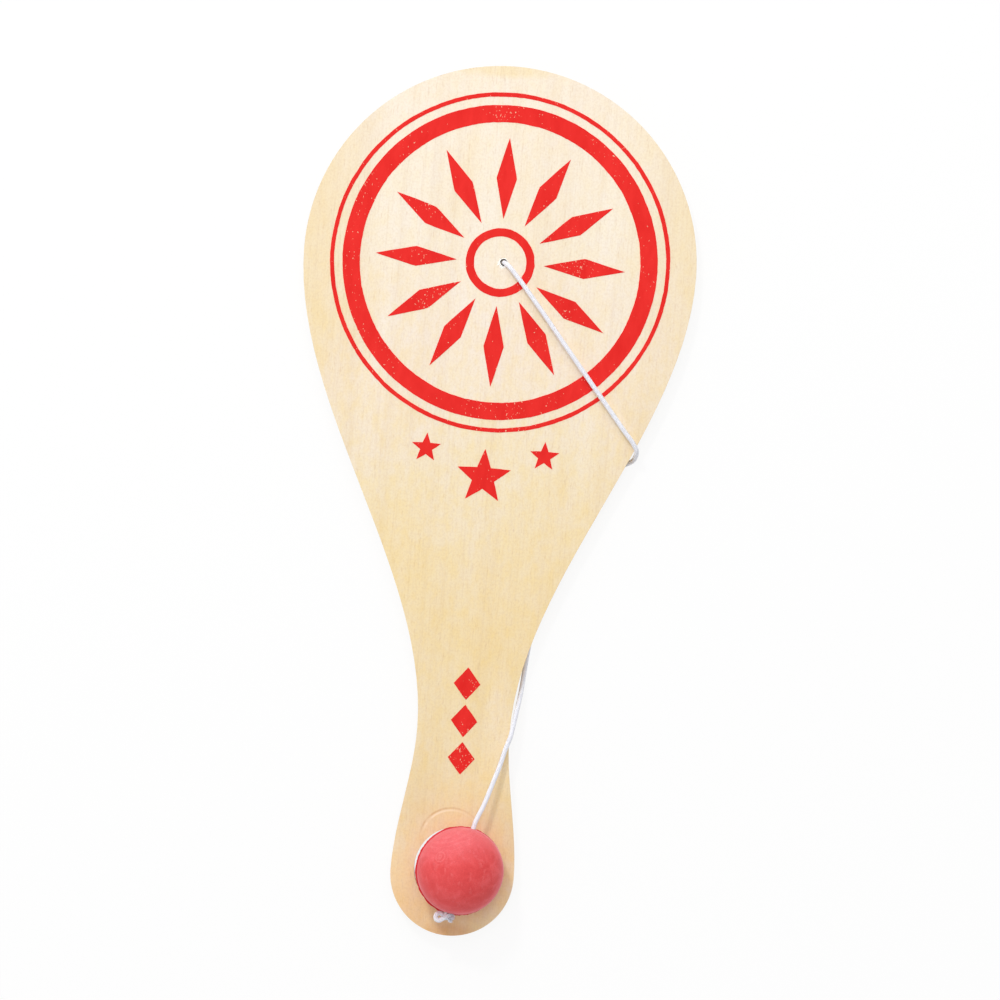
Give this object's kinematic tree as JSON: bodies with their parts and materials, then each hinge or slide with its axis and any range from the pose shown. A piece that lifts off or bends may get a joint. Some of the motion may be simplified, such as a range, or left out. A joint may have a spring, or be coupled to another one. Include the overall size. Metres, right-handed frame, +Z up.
{
  "type": "paddle ball game",
  "caption": "Flat wooden paddle with a rubber ball on an elastic cord, the ball kept in a hole through the round handle end.",
  "frame": {"origin": "on the surface that the object lies on, under the middle of the paddle's length and width", "axes": "+X to the paddle's right seen from the printed face, +Y along the paddle towards the blade's top, +Z up out of the printed face"},
  "size_m": [0.126, 0.2794, 0.0278],
  "materials": {
    "face_veneer": "sanded pale basswood, unvarnished",
    "core_veneer": "cross-grain middle ply, sawn edge",
    "red_ink": "screen-printed red ink, slightly broken by the grain",
    "elastic_cord": "white braid over a rubber core",
    "ball_rubber": "matt moulded rubber with a dusty bloom"
  },
  "bodies": {
    "paddle": {"front_ply": "face_veneer", "core_ply": "core_veneer", "back_ply": "face_veneer", "blade_print": "red_ink", "handle_print": "red_ink", "blade_knot": "elastic_cord", "cord_round_blade": "elastic_cord", "cord_to_ball": "elastic_cord"},
    "tether": {"cord_in_ball": "elastic_cord", "ball_knot": "elastic_cord"},
    "ball": {"ball": "ball_rubber"}
  },
  "joints": [
    {"name": "ball_lift", "type": "slide", "parent": "paddle", "child": "tether", "axis": [0, 0, 1], "range_m": [0, 0.05], "deforming": ["cord_to_ball"]},
    {"name": "ball_spin", "type": "hinge", "parent": "tether", "child": "ball", "pos_m": [0.00251, -0.1176, 0.0139], "axis": [0.2246, 0.973, -0.0523], "continuous": true}
  ]
}
